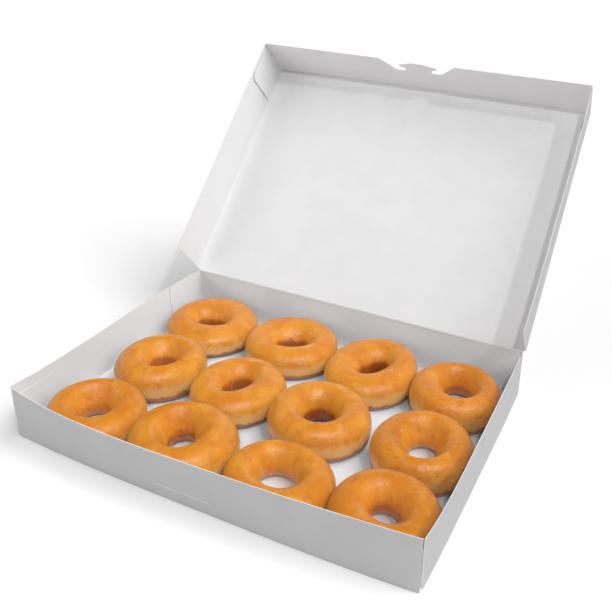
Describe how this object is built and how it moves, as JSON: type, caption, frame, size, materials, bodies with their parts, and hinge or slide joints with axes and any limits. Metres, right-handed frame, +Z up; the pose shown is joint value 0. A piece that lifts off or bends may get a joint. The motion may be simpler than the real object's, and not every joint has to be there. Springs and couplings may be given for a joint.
{
  "type": "open paperboard box of glazed ring doughnuts",
  "caption": "Open white paperboard bakery carton with a hinged lid, filled with glazed ring doughnuts lying flat in rows.",
  "frame": {"origin": "middle of the tray's underside", "axes": "+X to the right along the front wall, +Y to the hinged back wall, +Z up"},
  "size_m": [0.3802, 0.4443, 0.2729],
  "materials": {
    "white_board": "smooth bleached paperboard, matt with a faint sheen",
    "glazed_dough": "golden fried dough under a thin clear sugar glaze"
  },
  "bodies": {
    "tray": {"tray": "white_board", "doughnut_01": "glazed_dough", "doughnut_02": "glazed_dough", "doughnut_03": "glazed_dough", "doughnut_04": "glazed_dough", "doughnut_05": "glazed_dough", "doughnut_06": "glazed_dough", "doughnut_07": "glazed_dough", "doughnut_08": "glazed_dough", "doughnut_09": "glazed_dough", "doughnut_10": "glazed_dough", "doughnut_11": "glazed_dough", "doughnut_12": "glazed_dough"},
    "lid": {"lid": "white_board"}
  },
  "joints": [
    {"name": "lid_hinge", "type": "hinge", "parent": "tray", "child": "lid", "pos_m": [0, 0.1275, 0.0483], "axis": [-1, 0, 0], "range_deg": [-134, 55]}
  ]
}
